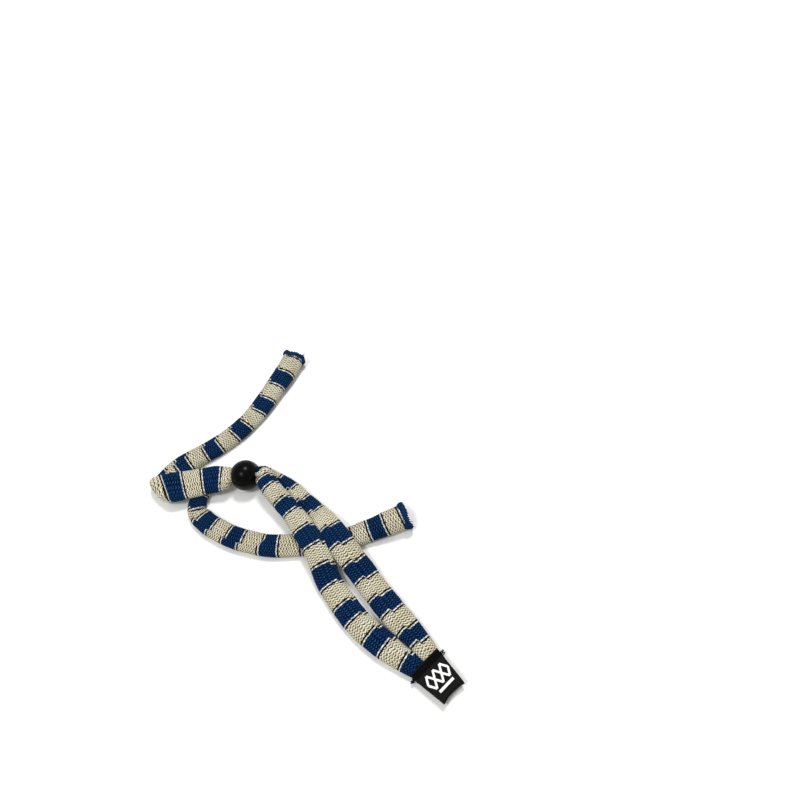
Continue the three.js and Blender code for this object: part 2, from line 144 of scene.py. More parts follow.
RIGHT_CURL = [
    [4.4, -27.1, 2.4], [-3, -27.2, 2.2], [-8.7, -24.2, 2.1], [-11.8, -18.6, 2.1], [-12.6, -12.8, 2.1],
    [-12.4, -8.8, 2.4], [-11.6, -6.8, 4], [-9.4, -6.6, 6], [-6.94, -5.93, 7.2], [-5.65, -4.4, 7.25],
]
RIGHT_TAIL = [
    [3.35, 6.33, 7.25], [4.7, 7.5, 6.3], [7.9, 9, 4.3], [12.2, 10.1, 3], [18, 11, 2.5],
    [23.1, 11.3, 2.4], [28.6, 11.2, 2.4], [33.9, 11.4, 2.6], [40.1, 11.3, 3.3], [46.1, 11.2, 4.9],
    [53.7, 10.5, 6.5], [59, 9.6, 6.6], [66, 8.5, 5.6], [76, 7.5, 3.2], [88.7, 6, 2.5],
    [100.8, 4.9, 2.5], [110.7, 4.7, 2.5], [119, 4.1, 2.4], [125.6, 3.7, 2.5],
]


# ---------- routes and rings ----------

def smoothstep(low, high, x):
    t = np.clip((x - low) / (high - low), 0, 1)
    return t * t * (3 - 2 * t)


class Route:
    """A smooth curve through points, measured by distance along it."""

    STEPS = 60  # points to each span of the curve
    HALF_STEP = 0.4  # how far each way the direction is measured

    def __init__(self, points):
        p = np.array(points, float)
        p = np.vstack([2 * p[0] - p[1], p, 2 * p[-1] - p[-2]])
        step = np.sqrt(np.linalg.norm(np.diff(p, axis=0), axis=1))
        t = np.linspace(0, 1, self.STEPS, endpoint=False)[:, None]
        parts = []
        for i in range(1, len(p) - 2):
            a, b, c = step[i - 1], step[i], step[i + 1]
            start = ((p[i] - p[i - 1]) / a - (p[i + 1] - p[i - 1]) / (a + b) + (p[i + 1] - p[i]) / b) * b
            end = ((p[i + 1] - p[i]) / b - (p[i + 2] - p[i]) / (b + c) + (p[i + 2] - p[i + 1]) / c) * b
            h1 = 2 * t**3 - 3 * t**2 + 1
            h2 = t**3 - 2 * t**2 + t
            h3 = 3 * t**2 - 2 * t**3
            h4 = t**3 - t**2
            parts.append(h1 * p[i] + h2 * start + h3 * p[i + 1] + h4 * end)
        parts.append(p[-2][None])
        self.points = np.vstack(parts)
        gaps = np.linalg.norm(np.diff(self.points, axis=0), axis=1)
        self.distance = np.concatenate([[0], np.cumsum(gaps)])
        self.length = self.distance[-1]

    def at(self, d):
        return np.stack([np.interp(d, self.distance, self.points[:, k]) for k in range(3)], 1)

    def frames(self, d):
        """Centres, and the directions along, across and up through the tube, at distances d."""
        ahead = self.at(np.minimum(d + self.HALF_STEP, self.length))
        along = ahead - self.at(np.maximum(d - self.HALF_STEP, 0))
        along /= np.linalg.norm(along, axis=1, keepdims=True)
        across = np.cross([0, 0, 1.0], along)
        across /= np.linalg.norm(across, axis=1, keepdims=True)
        return self.at(d), along, across, np.cross(along, across)

    def nearest(self, point):
        """The distance along at which the curve passes closest to a point."""
        return self.distance[np.argmin(np.linalg.norm(self.points - np.array(point), axis=1))]


def sizes_at(stations, d):
    """Each column of the stations at distances d, eased between them."""
    table = np.array(stations, float)
    i = np.clip(np.searchsorted(table[:, 0], d), 1, len(table) - 1)
    share = smoothstep(table[i - 1, 0], table[i, 0], d)[:, None]
    return table[i - 1, 1:] * (1 - share) + table[i, 1:] * share


def turns(count):
    """Equal angles once round, from 0."""
    return np.arange(count) * 2 * math.pi / count


def oval(sides):
    """A squarish oval from -0.5 to 0.5, as two columns, starting on the underside."""
    angle = -math.pi / 2 + turns(sides)
    power = 2 / SQUARENESS
    x = np.sign(np.cos(angle)) * np.abs(np.cos(angle)) ** power
    y = np.sign(np.sin(angle)) * np.abs(np.sin(angle)) ** power
    return np.stack([x, y], 1) / 2


# ---------- meshes ----------

def in_frame(point):
    """A point of this script, in the metres of the frame."""
    return tuple(((np.array(point) + BEAD) * MM).tolist())


def new_object(name, points, faces, material, smooth=True):
    """A mesh object from points of this script, placed in the frame."""
    mesh = bpy.data.meshes.new(name)
    mesh.from_pydata(((np.asarray(points) + BEAD) * MM).tolist(), [], faces)
    mesh.materials.append(material)
    mesh.polygons.foreach_set("use_smooth", np.full(len(mesh.polygons), smooth))
    mesh.update()
    piece = bpy.data.objects.new(name, mesh)
    bpy.context.scene.collection.objects.link(piece)
    return piece


def belongs(piece, body, node):
    """The piece rides a body and stands in for a CAD node."""
    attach(piece, body)
    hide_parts(node)


def ring_faces(rings, sides, closed=False):
    """Quads between successive rings, and from the last to the first if closed.

    They face out when the rings run anticlockwise about the route."""
    i = np.arange(rings if closed else rings - 1)[:, None]
    j = np.arange(sides)[None]
    here = i * sides
    there = (i + 1) % rings * sides
    k = (j + 1) % sides
    return np.stack([here + j, here + k, there + k, there + j], 2).reshape(-1, 4)


def capped_faces(rings, sides):
    """The quads between rings, then a face over the last ring and one over the first."""
    end = (rings - 1) * sides
    caps = [list(range(end, end + sides)), list(range(sides - 1, -1, -1))]
    return ring_faces(rings, sides).tolist() + caps


def store(mesh, name, kind, values):
    """Puts a number or a vector on each point of a mesh."""
    attribute = mesh.attributes.new(name, kind, "POINT")
    field = "vector" if kind == "FLOAT_VECTOR" else "value"
    attribute.data.foreach_set(field, np.asarray(values, np.float32).ravel())


# ---------- materials ----------

class Nodes:
    """Short calls for building a material's or a modifier's node tree."""

    def __init__(self, tree):
        self.tree = tree

    def add(self, kind, inputs=None, **settings):
        node = self.tree.nodes.new(kind)
        for key, value in settings.items():
            setattr(node, key, value)
        for key, value in (inputs or {}).items():
            self.set(node, key, value)
        return node

    def set(self, node, key, value):
        """Links a socket to one of a node's inputs, or sets the input to a plain value."""
        if isinstance(value, bpy.types.NodeSocket):
            self.tree.links.new(value, node.inputs[key])
        else:
            node.inputs[key].default_value = value

    def math(self, operation, a, b=0.0, c=0.0):
        return self.add("ShaderNodeMath", {0: a, 1: b, 2: c}, operation=operation).outputs[0]

    def mix(self, factor, a, b):
        """One colour where the factor is 0 and the other where it is 1."""
        return self.add("ShaderNodeMix", {0: factor, 6: a, 7: b}, data_type="RGBA").outputs[2]

    def noise(self, vector, scale, detail=2.0, roughness=0.5):
        inputs = {"Vector": vector, "Scale": scale, "Detail": detail, "Roughness": roughness}
        return self.add("ShaderNodeTexNoise", inputs).outputs["Fac"]

    def ramp(self, value, low, high, **settings):
        """0 up to low, 1 from high on, and even in between."""
        inputs = {"Value": value, "From Min": low, "From Max": high}
        return self.add("ShaderNodeMapRange", inputs, **settings).outputs["Result"]

    def axes(self, vector):
        return self.add("ShaderNodeSeparateXYZ", {0: vector}).outputs

    def uv(self, name):
        return self.add("ShaderNodeUVMap", uv_map=name).outputs[0]

    def named(self, attribute, kind):
        node = self.add("GeometryNodeInputNamedAttribute", {"Name": attribute}, data_type=kind)
        return node.outputs[0]

    def vector(self, operation, a, b):
        return self.add("ShaderNodeVectorMath", {0: a, 1: b}, operation=operation).outputs[0]

    def scaled(self, a, factor):
        inputs = {0: a, "Scale": factor}
        return self.add("ShaderNodeVectorMath", inputs, operation="SCALE").outputs[0]

    def object_place(self):
        return self.add("ShaderNodeTexCoord").outputs["Object"]


def new_material(name):
    """An empty material, the calls that build its nodes, and its shader."""
    material = bpy.data.materials.new(name)
    material.use_nodes = True
    material.node_tree.nodes.clear()
    nodes = Nodes(material.node_tree)
    shader = nodes.add("ShaderNodeBsdfPrincipled")
    output = nodes.add("ShaderNodeOutputMaterial")
    material.node_tree.links.new(shader.outputs[0], output.inputs[0])
    return material, nodes, shader


def dress(n, shader, base, specular, roughness, bump=None):
    """Sets a shader's sockets. bump: (strength, depth in mm, socket that gives the height)."""
    n.set(shader, "Base Color", base)
    n.set(shader, "Specular IOR Level", specular)
    n.set(shader, "Roughness", roughness)
    if bump:
        strength, depth, height = bump
        inputs = {"Strength": strength, "Distance": depth * MM, "Height": height}
        n.set(shader, "Normal", n.add("ShaderNodeBump", inputs).outputs[0])


def colour(hex_code):
    """A linear colour from an sRGB hex code."""
    srgb = [(hex_code >> shift & 255) / 255 for shift in (16, 8, 0)]
    return [c / 12.92 if c <= 0.04045 else ((c + 0.055) / 1.055) ** 2.4 for c in srgb] + [1.0]


# ---------- the knit's material ----------

LEG_SLOPE = 0.9  # rise of a stitch's legs, in rows for each column across
LINE_BLUR = 0.07  # half the width over which a stripe's lines blend, in mm
DARK_LINE = 0.8  # widths of the two lines along each edge of a navy stripe, in mm
WHITE_LINE = 0.55
# The gap colours are painted shade, for yarn sunk into the gaps between stitches.
CREAM_YARN = colour(0xE6E1CA)
CREAM_WARM = colour(0xD4CCAE)
CREAM_GAP_SHADE = colour(0x3A3220)
NAVY_YARN = colour(0x05264E)
NAVY_DEEP = colour(0x021A38)
# A painted highlight for the highest tops of the navy yarn:
NAVY_HIGHLIGHT = colour(0x1C4B7C)
NAVY_GAP_SHADE = colour(0x01040E)
WHITE_YARN = colour(0xF2EFE4)
WHITE_GAP_SHADE = colour(0x4B5364)
DARK_YARN = colour(0x080B14)
DARK_GAP_SHADE = colour(0x040509)


def stitch_height(n, across, wale, course):
    """Height of the yarn, 0 in the gaps between stitches to 1 on their backs."""
    leaning = n.math("MULTIPLY_ADD", n.math("ABSOLUTE", across), LEG_SLOPE, course)
    half_drop = n.math("MULTIPLY_ADD", n.math("FLOOR", wale), 0.5, leaning)
    row = n.math("COSINE", n.math("MULTIPLY", half_drop, 2 * math.pi))
    leg = n.math("COSINE", n.math("MULTIPLY", across, 2 * math.pi))
    swell = n.math("MULTIPLY_ADD", leg, 0.35, 0.65)
    return n.math("MULTIPLY_ADD", swell, n.math("MULTIPLY", row, 0.5), 0.5)


def knit_material(name):
    """Striped knit in the tube's own stitch and stripe coordinates.

    The UV map stitches counts columns and rows, and bands says how far inside navy a place is."""
    material, n, shader = new_material(name)
    place = n.uv("stitches")
    wale, row = n.axes(place)[:2]
    across = n.math("SUBTRACT", n.math("FRACT", wale), 0.5)
    off_middle = n.math("ABSOLUTE", across)
    course = n.math("MULTIPLY_ADD", n.noise(place, 0.3), 1.2, row)
    yarn = stitch_height(n, across, wale, course)
    fuzz = n.noise(place, 1.6, 4.0, 0.75)
    height = n.math("MULTIPLY_ADD", fuzz, 0.9, n.math("SUBTRACT", yarn, 0.45))
    # raised also sets how much painted gap shade each place gets.
    raised = n.ramp(height, 0.28, 0.62)
    patch = n.ramp(n.noise(place, 0.16), 0.3, 0.7)

    # Painted shade: each yarn colour darkens to its gap colour where the stitches' height sinks into the
    # gaps.
    cream = n.mix(raised, CREAM_GAP_SHADE, n.mix(patch, CREAM_WARM, CREAM_YARN))
    navy = n.mix(raised, NAVY_GAP_SHADE, n.mix(patch, NAVY_DEEP, NAVY_YARN))
    # Painted highlight: the navy lightens on the highest tops of the yarn.
    navy = n.mix(n.ramp(height, 0.62, 0.95), navy, NAVY_HIGHLIGHT)
    white = n.mix(n.ramp(height, 0.1, 0.6), WHITE_GAP_SHADE, WHITE_YARN)
    # Painted shade between the columns of stitches leaves the white line dotted.
    white = n.mix(n.ramp(off_middle, 0.32, 0.56), white, WHITE_GAP_SHADE)
    dark = n.mix(raised, DARK_GAP_SHADE, DARK_YARN)

    # The stripes' edges follow the V of the stitches a little.
    band = n.axes(n.uv("bands"))[0]
    inside = n.math("MULTIPLY_ADD", off_middle, 0.3, n.math("SUBTRACT", band, 0.08))
    base = cream
    for start, next_colour in ((0, dark), (DARK_LINE, white), (DARK_LINE + WHITE_LINE, navy)):
        base = n.mix(n.ramp(inside, start - LINE_BLUR, start + LINE_BLUR), base, next_colour)

    dress(n, shader, base, 0.03, n.ramp(fuzz, -1.5, 0.9), (0.6, 0.3, height))
    shader.inputs["Sheen Weight"].default_value = 0.02
    shader.inputs["Sheen Roughness"].default_value = 0.5
    return material


KNIT = knit_material("striped_knit")


# ---------- knitted tubes ----------

def inside_navy(distance, edges):
    """How far inside a navy stripe each distance is, or negative inside a cream one.

    edges: where the stripes start and end in turn, navy first."""
    edges = np.asarray(edges, float)
    nearest = np.abs(distance[..., None] - edges).min(-1)
    passed = (distance[..., None] >= edges).sum(-1)
    return np.where(passed % 2 == 1, nearest, -nearest)


ROW_RELIEF = 0.07  # heights of the stitches' relief, and of the two kinds of unevenness
COLUMN_RELIEF = 0.04
SLOW_RELIEF = 0.08
FINE_RELIEF = 0.015
SLOW_RINGS = 10  # rings and sides between places where the slow unevenness is drawn
SLOW_SIDES = 6


def knit_relief(rings, seed):
    """Height of each ring point: gaps between stitches, and a slow and a fine unevenness."""
    rng = np.random.default_rng(seed)
    i = np.arange(rings)[:, None]
    j = np.arange(SIDES)[None]
    row = np.cos(2 * np.pi * (i / STITCH_POINTS + (j // STITCH_POINTS) / 2))
    column = np.cos(2 * np.pi * j / STITCH_POINTS)
    coarse = rng.normal(size=(rings // SLOW_RINGS + 3, SIDES // SLOW_SIDES + 1))
    coarse[:, -1] = coarse[:, 0]
    ring_place = np.arange(rings) / SLOW_RINGS
    side_place = np.arange(SIDES) / SLOW_SIDES
    along = np.stack([np.interp(ring_place, np.arange(len(c)), c) for c in coarse.T], 1)
    slow = np.stack([np.interp(side_place, np.arange(len(c)), c) for c in along])
    fine = rng.normal(size=(rings, SIDES))
    return ROW_RELIEF * row - COLUMN_RELIEF * column + SLOW_RELIEF * slow + FINE_RELIEF * fine


class Fold:
    """The flat fold: strap beyond the crease wraps half a turn and comes back over the top."""

    def __init__(self):
        self.crease = np.array([math.cos(FOLD_HEADING), math.sin(FOLD_HEADING)])
        self.outward = np.array([math.sin(FOLD_HEADING), -math.cos(FOLD_HEADING)])
        self.radius = (FOLD_HIGH - FOLD_LOW) / 2
        self.wrap = math.pi * self.radius

    def unfold(self, point):
        """Where a point of the upper layer lies if the strap is opened out flat."""
        p = np.array(point[:2]) - FOLD_MIDDLE
        inward = p @ self.outward
        flat = FOLD_MIDDLE + self.crease * (p @ self.crease) + self.outward * (self.wrap - inward)
        return [flat[0], flat[1], point[2]]

    def place(self, flat, low, high, thick):
        """Folds points at x, y flat when opened out, thick above layers at heights low and high."""
        p = flat - FOLD_MIDDLE
        along = p @ self.crease
        past = p @ self.outward
        turn = np.clip(past / self.radius, 0, np.pi)
        arm = self.radius - thick
        out = np.where(past < 0, past, np.where(past > self.wrap, self.wrap - past, arm * np.sin(turn)))
        arc_height = FOLD_LOW + self.radius - arm * np.cos(turn)
        height = np.where(past < 0, low + thick, np.where(past > self.wrap, high - thick, arc_height))
        xy = FOLD_MIDDLE + along[..., None] * self.crease + out[..., None] * self.outward
        return np.concatenate([xy, height[..., None]], -1)


FOLD = Fold()


def kinked(d, a, t, kink):
    """A section that draws in on one side of the tube, and flattens there.

    kink: (distance, side, how much it draws in, how much it flattens, reach each way)."""
    middle, side, draw_in, flatten, reach = kink
    near = np.exp(-(((d - middle) / reach) ** 2))[:, None]
    facing = np.clip(0.5 + side * a / np.abs(a).max(), 0, 1)
    return a - side * draw_in * near * facing, t - flatten * near * facing * np.sign(t)


def corners_of_faces(values):
    """Ring values at the four corners of each quad, in the order of ring_faces."""
    lower = np.repeat(values[:-1, None], SIDES, 1)
    upper = np.repeat(values[1:, None], SIDES, 1)
    return np.stack([lower, lower, upper, upper], 2)


POCKET_STEP = 3 * RING_STEP  # between rings on the inside of an open end
POCKET_RELIEF = -0.5  # share of the outside's relief that shows there


class Tube:
    """A knitted tube, and how its section and stripes change with distance from its mouth."""

    def __init__(self, route, seed):
        self.route = route
        self.rings = int(route.length / RING_STEP)
        self.relief = knit_relief(self.rings + 1, seed)
        self.pocket = 0  # depth of the hollow at the mouth
        self.stations = []  # [distance, width, height, roll in degrees]
        self.stripes = []  # where navy stripes start and end in turn
        self.jogs = []  # [distance, share of the way round at which stripes jog]
        self.slants = [[0, 0]]  # [distance, how much further on a stripe is at one edge]
        self.kink = None  # what kinked asks for
        self.fold = None  # (last distance in the lower layer, first in the upper)
        self.bead = 0  # distance of the bead's centre
        self.bore_side = 0  # how far right of the bore's middle the tube passes
        self.drop = 0  # its change in height there when the bead has gone

    def section(self, d, relief, inner):
        """Each ring's offsets across and up from the tube's middle, and its width and height.

        inner: how many of the rings are on the inside of the open end."""
        size = sizes_at(self.stations, d)
        width, height, roll = size[:, 0], size[:, 1], np.radians(size[:, 2])
        profile = oval(SIDES)
        a = profile[None, :, 0] * width[:, None]
        t = profile[None, :, 1] * height[:, None]
        a[:inner] *= 1 - 2 * WALL / width[:inner, None]
        t[:inner] *= 1 - 2 * WALL / height[:inner, None]
        normal = np.stack([profile[:, 0] / width.mean(), profile[:, 1] / height.mean()], 1)
        normal /= np.linalg.norm(normal, axis=1, keepdims=True)
        a = a + normal[None, :, 0] * relief
        t = t + normal[None, :, 1] * relief
        if self.kink:
            a, t = kinked(d, a, t, self.kink)
        cos, sin = np.cos(roll)[:, None], np.sin(roll)[:, None]
        return a * cos - t * sin, a * sin + t * cos, width, height

    def build(self, name, first, last):
        """The mesh piece from one ring of the tube to another, and its centreline.

        A piece from ring 0 is hollow at its start. Any other takes the fold and the squeeze."""
        d = np.arange(first, last + 1) * RING_STEP
        relief = self.relief[first:last + 1]
        inner = 0
        if first == 0:
            inner = int(self.pocket / POCKET_STEP)
            d = np.concatenate([np.linspace(self.pocket, 0, inner), d])
            relief = np.concatenate([POCKET_RELIEF * relief[:inner], relief])
        a, t, width, height = self.section(d, relief, inner)
        centre, _, across, up = self.route.frames(d)
        if first > 0 and self.fold:
            low = np.where(d < self.fold[0], centre[:, 2], FOLD_LOW)[:, None]
            high = np.where(d > self.fold[1], centre[:, 2], FOLD_HIGH)[:, None]
            flat = centre[:, None, :2] + across[:, None, :2] * a[..., None]
            points = FOLD.place(flat, low, high, t)
            spine = FOLD.place(np.repeat(centre[:, None, :2], SIDES, 1), low, high, 0 * t)
        else:
            points = centre[:, None] + across[:, None] * a[..., None] + up[:, None] * t[..., None]
            spine = np.repeat(centre[:, None], SIDES, 1)
        piece = new_object(name, points.reshape(-1, 3), capped_faces(len(d), SIDES), KNIT)
        self.add_stripes(piece.data, d)
        if first > 0:
            add_squeeze(piece, self, d, points, spine, width, height)
        return piece, spine[inner:, 0]

    def add_stripes(self, mesh, d):
        """The UV maps that the knit material reads."""
        distance = corners_of_faces(d)
        side = np.arange(SIDES)[:, None] + np.array([0, 1, 1, 0])[None]
        inside_face = np.arange(SIDES)[:, None] + np.array([0.01, 0.99, 0.99, 0.01])[None]
        round_share = np.mod(inside_face[None] / SIDES - between(self.jogs, distance), 1)
        edge = oval(SIDES)[:, 0]
        edge = np.append(edge, edge[0])[side][None]
        shifted = distance + JOG * (1 - round_share) - between(self.slants, distance) * edge
        wale = np.broadcast_to(side[None] / STITCH_POINTS, distance.shape)
        add_uv(mesh, "stitches", wale, distance / COURSE)
        add_uv(mesh, "bands", inside_navy(shifted - JOG / 2, self.stripes), 0 * distance)


def between(pairs, d):
    """The second values of the pairs, in straight lines between their distances."""
    return np.interp(d, [pair[0] for pair in pairs], [pair[1] for pair in pairs])


def add_uv(mesh, name, u, v):
    """A UV map on the quads of a tube. The two end caps keep zeros."""
    layer = mesh.uv_layers.new(name=name)
    values = np.zeros((len(mesh.loops), 2), np.float32)
    pairs = np.stack([u, v], -1).reshape(-1, 2)
    values[:len(pairs)] = pairs
    layer.data.foreach_set("uv", values.ravel())


# ---------- the squeeze that travels with the bead ----------

REACH = 17.0  # how far from the bead's centre the tubes are drawn together
FLARE = 2.4  # how quickly a tube opens out past the bore's mouth
FLARE_START = 0.2  # how far inside the mouth it starts to
SQUEEZED = [2.9, 5.6]  # width and height of each tube inside the bore
AWAY = 15.0  # travel after which the tubes have relaxed where the bead was
RELAX_REACH = 13.0  # how far each way they relax
RELAX_SPREAD = 0.8  # how far apart they move, as a share of bore_side
TAIL_FROM, TAIL_TO = 7, 25  # past the bead, places go over from distance along the tube to x


def add_squeeze(piece, tube, d, points, spine, width, height):
    """Stores each point's place on the bead's path and its squeezed shape, for the modifier."""
    from_bead = d - tube.bead
    tail_share = smoothstep(TAIL_FROM, TAIL_TO, from_bead)
    place = from_bead * (1 - tail_share) + spine[:, 0, 0] * tail_share
    section = points - spine
    direction = points[:, SIDES // 4] - spine[:, 0]
    direction[:, 2] = 0
    direction /= np.linalg.norm(direction, axis=1, keepdims=True)
    wide = (section * direction[:, None]).sum(2, keepdims=True) * direction[:, None]
    narrower = (SQUEEZED[0] / width)[:, None, None]
    taller = (SQUEEZED[1] / height)[:, None, None]
    squeezed = wide * narrower + (section - wide) * taller
    near = np.exp(-((from_bead / RELAX_REACH) ** 2))[:, None]
    relax = near * (np.array([0, 0, tube.drop]) - BEAD_LEFT * tube.bore_side * RELAX_SPREAD)
    mesh = piece.data
    store(mesh, "bore_place", "FLOAT", np.repeat(place[:, None], SIDES, 1) * MM)
    store(mesh, "change", "FLOAT_VECTOR", (squeezed - section) * MM)
    store(mesh, "spine", "FLOAT_VECTOR", (spine + BEAD) * MM)
    store(mesh, "relax", "FLOAT_VECTOR", np.repeat(relax[:, None], SIDES, 1) * MM)
    modifier = piece.modifiers.new("squeeze", "NODES")
    modifier.node_group = squeeze_group(piece.name + "_squeeze", tube.bore_side)


def squeeze_group(name, bore_side):
    """Geometry nodes: draws the tube into the bore wherever the bead has been moved to."""
    tree = bpy.data.node_groups.new(name, "GeometryNodeTree")
    tree.interface.new_socket("Geometry", in_out="INPUT", socket_type="NodeSocketGeometry")
    tree.interface.new_socket("Geometry", in_out="OUTPUT", socket_type="NodeSocketGeometry")
    n = Nodes(tree)
    given = n.add("NodeGroupInput")
    result = n.add("NodeGroupOutput")

    def eased(value, low, high):
        return n.ramp(value, low * MM, high * MM, interpolation_type="SMOOTHSTEP")

    slide = n.add("GeometryNodeObjectInfo", {"Object": frame["bodies"]["squeezed_straps"]})
    turn = n.add("GeometryNodeObjectInfo", {"Object": frame["bodies"]["bead"]})
    travel = n.axes(slide.outputs["Location"])[0]
    away = eased(travel, 0.0, AWAY)
    place = n.math("SUBTRACT", n.named("bore_place", "FLOAT"), travel)
    off = n.math("ABSOLUTE", place)
    drawn = n.math("SUBTRACT", 1.0, eased(off, BORE_MOUTH, REACH))
    pinch = n.math("SUBTRACT", 1.0, eased(off, BORE_MOUTH - FLARE_START, BORE_MOUTH + FLARE))
    origin = (BEAD + np.array([0, 0, BEAD_RADIUS]) - BEAD_LEFT * bore_side) * MM
    in_bore = n.vector("ADD", n.scaled(BEAD_AHEAD.tolist(), place), origin.tolist())
    inputs = {"Vector": in_bore, "Transform": turn.outputs["Transform"]}
    target = n.add("FunctionNodeTransformPoint", inputs).outputs[0]
    to_target = n.vector("SUBTRACT", target, n.named("spine", "FLOAT_VECTOR"))
    pull = n.scaled(to_target, n.math("MULTIPLY", drawn, away))
    relaxed = n.math("MULTIPLY", away, n.math("SUBTRACT", 1.0, drawn))
    ease = n.scaled(n.named("relax", "FLOAT_VECTOR"), relaxed)
    squeeze = n.scaled(n.named("change", "FLOAT_VECTOR"), pinch)
    offset = n.vector("ADD", n.vector("ADD", pull, ease), squeeze)
    moved = n.add("GeometryNodeSetPosition", {"Geometry": given.outputs[0], "Offset": offset})
    tree.links.new(moved.outputs[0], result.inputs[0])
    return tree


# ---------- camera ----------

CAMERA_PLACE = [208.3, -41.8, 290.2]
CAMERA_FORWARD = (-0.516, 0.339, -0.786)
CAMERA_UP = (-0.529, 0.596, 0.604)
FOCAL_LENGTH = 32.5
SENSOR_WIDTH = 36


def make_camera():
    data = bpy.data.cameras.new("camera")
    data.sensor_width = SENSOR_WIDTH
    data.lens = FOCAL_LENGTH
    data.clip_start = 0.01
    camera = bpy.data.objects.new("camera", data)
    bpy.context.scene.collection.objects.link(camera)
    forward = Vector(CAMERA_FORWARD).normalized()
    right = forward.cross(Vector(CAMERA_UP)).normalized()
    rotation = Matrix((right, right.cross(forward), -forward)).transposed()
    camera.matrix_world = Matrix.Translation(in_frame(CAMERA_PLACE)) @ rotation.to_4x4()
    bpy.context.scene.camera = camera


make_camera()


# ---------- straps ----------

def after(start, distances):
    """Distances measured from another place along the tube."""
    return [start + d for d in distances]


def left_tube():
    tube = Tube(Route(LEFT_RUN + [FOLD.unfold(p) for p in LEFT_RETURN + LEFT_TAIL]), seed=11)
    low_end = tube.route.nearest(LEFT_RUN[-1])
    high_start = tube.route.nearest(FOLD.unfold(LEFT_RETURN[0]))
    tail = tube.route.nearest(FOLD.unfold(LEFT_TAIL[0]))
    bead = (tube.route.nearest(FOLD.unfold(LEFT_RETURN[-1])) + tail) / 2
    tube.pocket = 30
    tube.fold = (low_end, high_start)
    tube.bead = bead
    tube.bore_side = 1.5
    tube.drop = 0.3
    tube.stations = [
        [0, 11.4, 8.8, 0], [8, 11.2, 8.2, 0], [30, 10.8, 6, 0], [42, 10.8, 5, 0], [72, 10.9, 4.8, 0],
        [84, 12.4, 4.4, 0], [low_end, 15, 4.2, 0], [high_start, 15.4, 4.2, 8],
        [high_start + 10, 13.8, 4.2, 16], [bead - 16, 13.2, 4.3, 18], [bead - 8, 11.6, 4.6, 10],
        [bead, 9.4, 5.2, 0], [bead + 9, 9, 5.8, 0], [bead + 30, 9.4, 4.7, 0], [bead + 52, 11, 4.7, 0],
        [bead + 108, 11.4, 4.6, 0], [bead + 121, 9.4, 3.6, 0], [tube.route.length, 6.6, 1.8, 0],
    ]
    tube.stripes = [
        -20, 2.6, 10.5, 21.1, 28.3, 38.3, 45.6, 55.3, 62.4, 71.8, 79, 87.2, 91.9, 101.8, 107.6,
        118.4, 126.2, 136.8,
    ] + after(tail, [
        3.8, 11.1, 19.1, 28.9, 37.9, 49.9, 57.9, 69.3, 77.9, 87.9, 95.6, 105.3, 113.3,
    ])
    tube.jogs = [[bead - 5, 0.56], [bead + 5, 0.9]]
    tube.slants = [[84, 0], [90, 6], [99, 6], [104, 4], [110, 4], [119, 1.8], [128, 0]]
    return tube


def right_tube():
    tube = Tube(Route(RIGHT_RUN + RIGHT_CURL + RIGHT_TAIL), seed=12)
    tail = tube.route.nearest(RIGHT_TAIL[0])
    bead = (tube.route.nearest(RIGHT_CURL[-1]) + tail) / 2
    tube.pocket = 20
    tube.bead = bead
    tube.bore_side = -1.5
    tube.drop = -4.6
    tube.stations = [
        [0, 11.4, 8.8, 0], [8, 11.2, 7.6, 0], [17, 10.8, 5.4, 0], [30, 11, 3.7, 0], [46, 11, 3.8, 0],
        [58, 10.6, 4.8, 0], [90, 10.4, 5, 0], [bead - 40, 9.6, 4.6, 0], [bead - 30, 8, 4.2, 0],
        [bead - 12, 7.6, 4.2, 0], [bead, 7.6, 4.4, 0], [bead + 8, 6.2, 4, 0],
        [bead + 30, 9.6, 4.6, 0], [bead + 52, 11.2, 4.7, 0], [bead + 75, 12, 4.7, 0],
        [bead + 110, 11.6, 4.6, 0], [bead + 124, 9, 3.6, 0], [tube.route.length, 6.6, 1.8, 0],
    ]
    tube.stripes = [
        -20, 2.8, 9.1, 18.3, 24.9, 34, 42, 49.5, 58.4, 68.3, 76.6, 86.2, 93.4, 103.8,
    ] + after(bead, [-38.6, -29, -20, -10]) + after(tail, [
        -7.5, 3.4, 8.7, 19.3, 26.4, 37.6, 49.6, 61.3, 69.1, 80.3, 88.6, 99.1, 107.2, 116.2,
    ])
    tube.jogs = [[60, 0.7], [70, 0.43], [bead, 0.4], [bead + 25, 0.51]]
    tube.kink = (tube.route.nearest(RIGHT_KINK), -1, 2.64, 1.32, 1.5)
    return tube


SPLIT = int(SPLIT_AT / RING_STEP)
LEFT = left_tube()
RIGHT = right_tube()
left_front, left_front_line = LEFT.build("left_tube_front", 0, SPLIT)
left_back, left_back_line = LEFT.build("left_tube_back", SPLIT, LEFT.rings)
right_front, right_front_line = RIGHT.build("right_tube_front", 0, SPLIT)
right_back, right_back_line = RIGHT.build("right_tube_back", SPLIT, RIGHT.rings)


def swing(piece, tube, pivot, reach):
    """Bakes the piece's placement into its mesh.

    pivot: distance of the joint from the mouth, not used. reach: how far each way a bend would spread,
    not used."""
    before, beyond = tube.route.at(np.array([pivot - reach, pivot + reach]))
    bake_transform(piece)


swing(left_front, LEFT, 36, 11)
swing(right_front, RIGHT, 17, 9)

# The tube ends' placements are baked into their meshes.
for tail in (left_back, right_back):
    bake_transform(tail)

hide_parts("left_sleeve", "left_strap")
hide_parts("left_strap_fold", "left_strap_return", "left_strap_neck", "left_tail")
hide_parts("right_sleeve", "right_strap", "right_strap_underpass")
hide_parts("right_strap_bend", "right_strap_curl", "right_strap_neck", "right_tail")


# ---------- threads ----------

THREAD_SIDES = 6
THREAD_TIP = 0.55  # of its radius


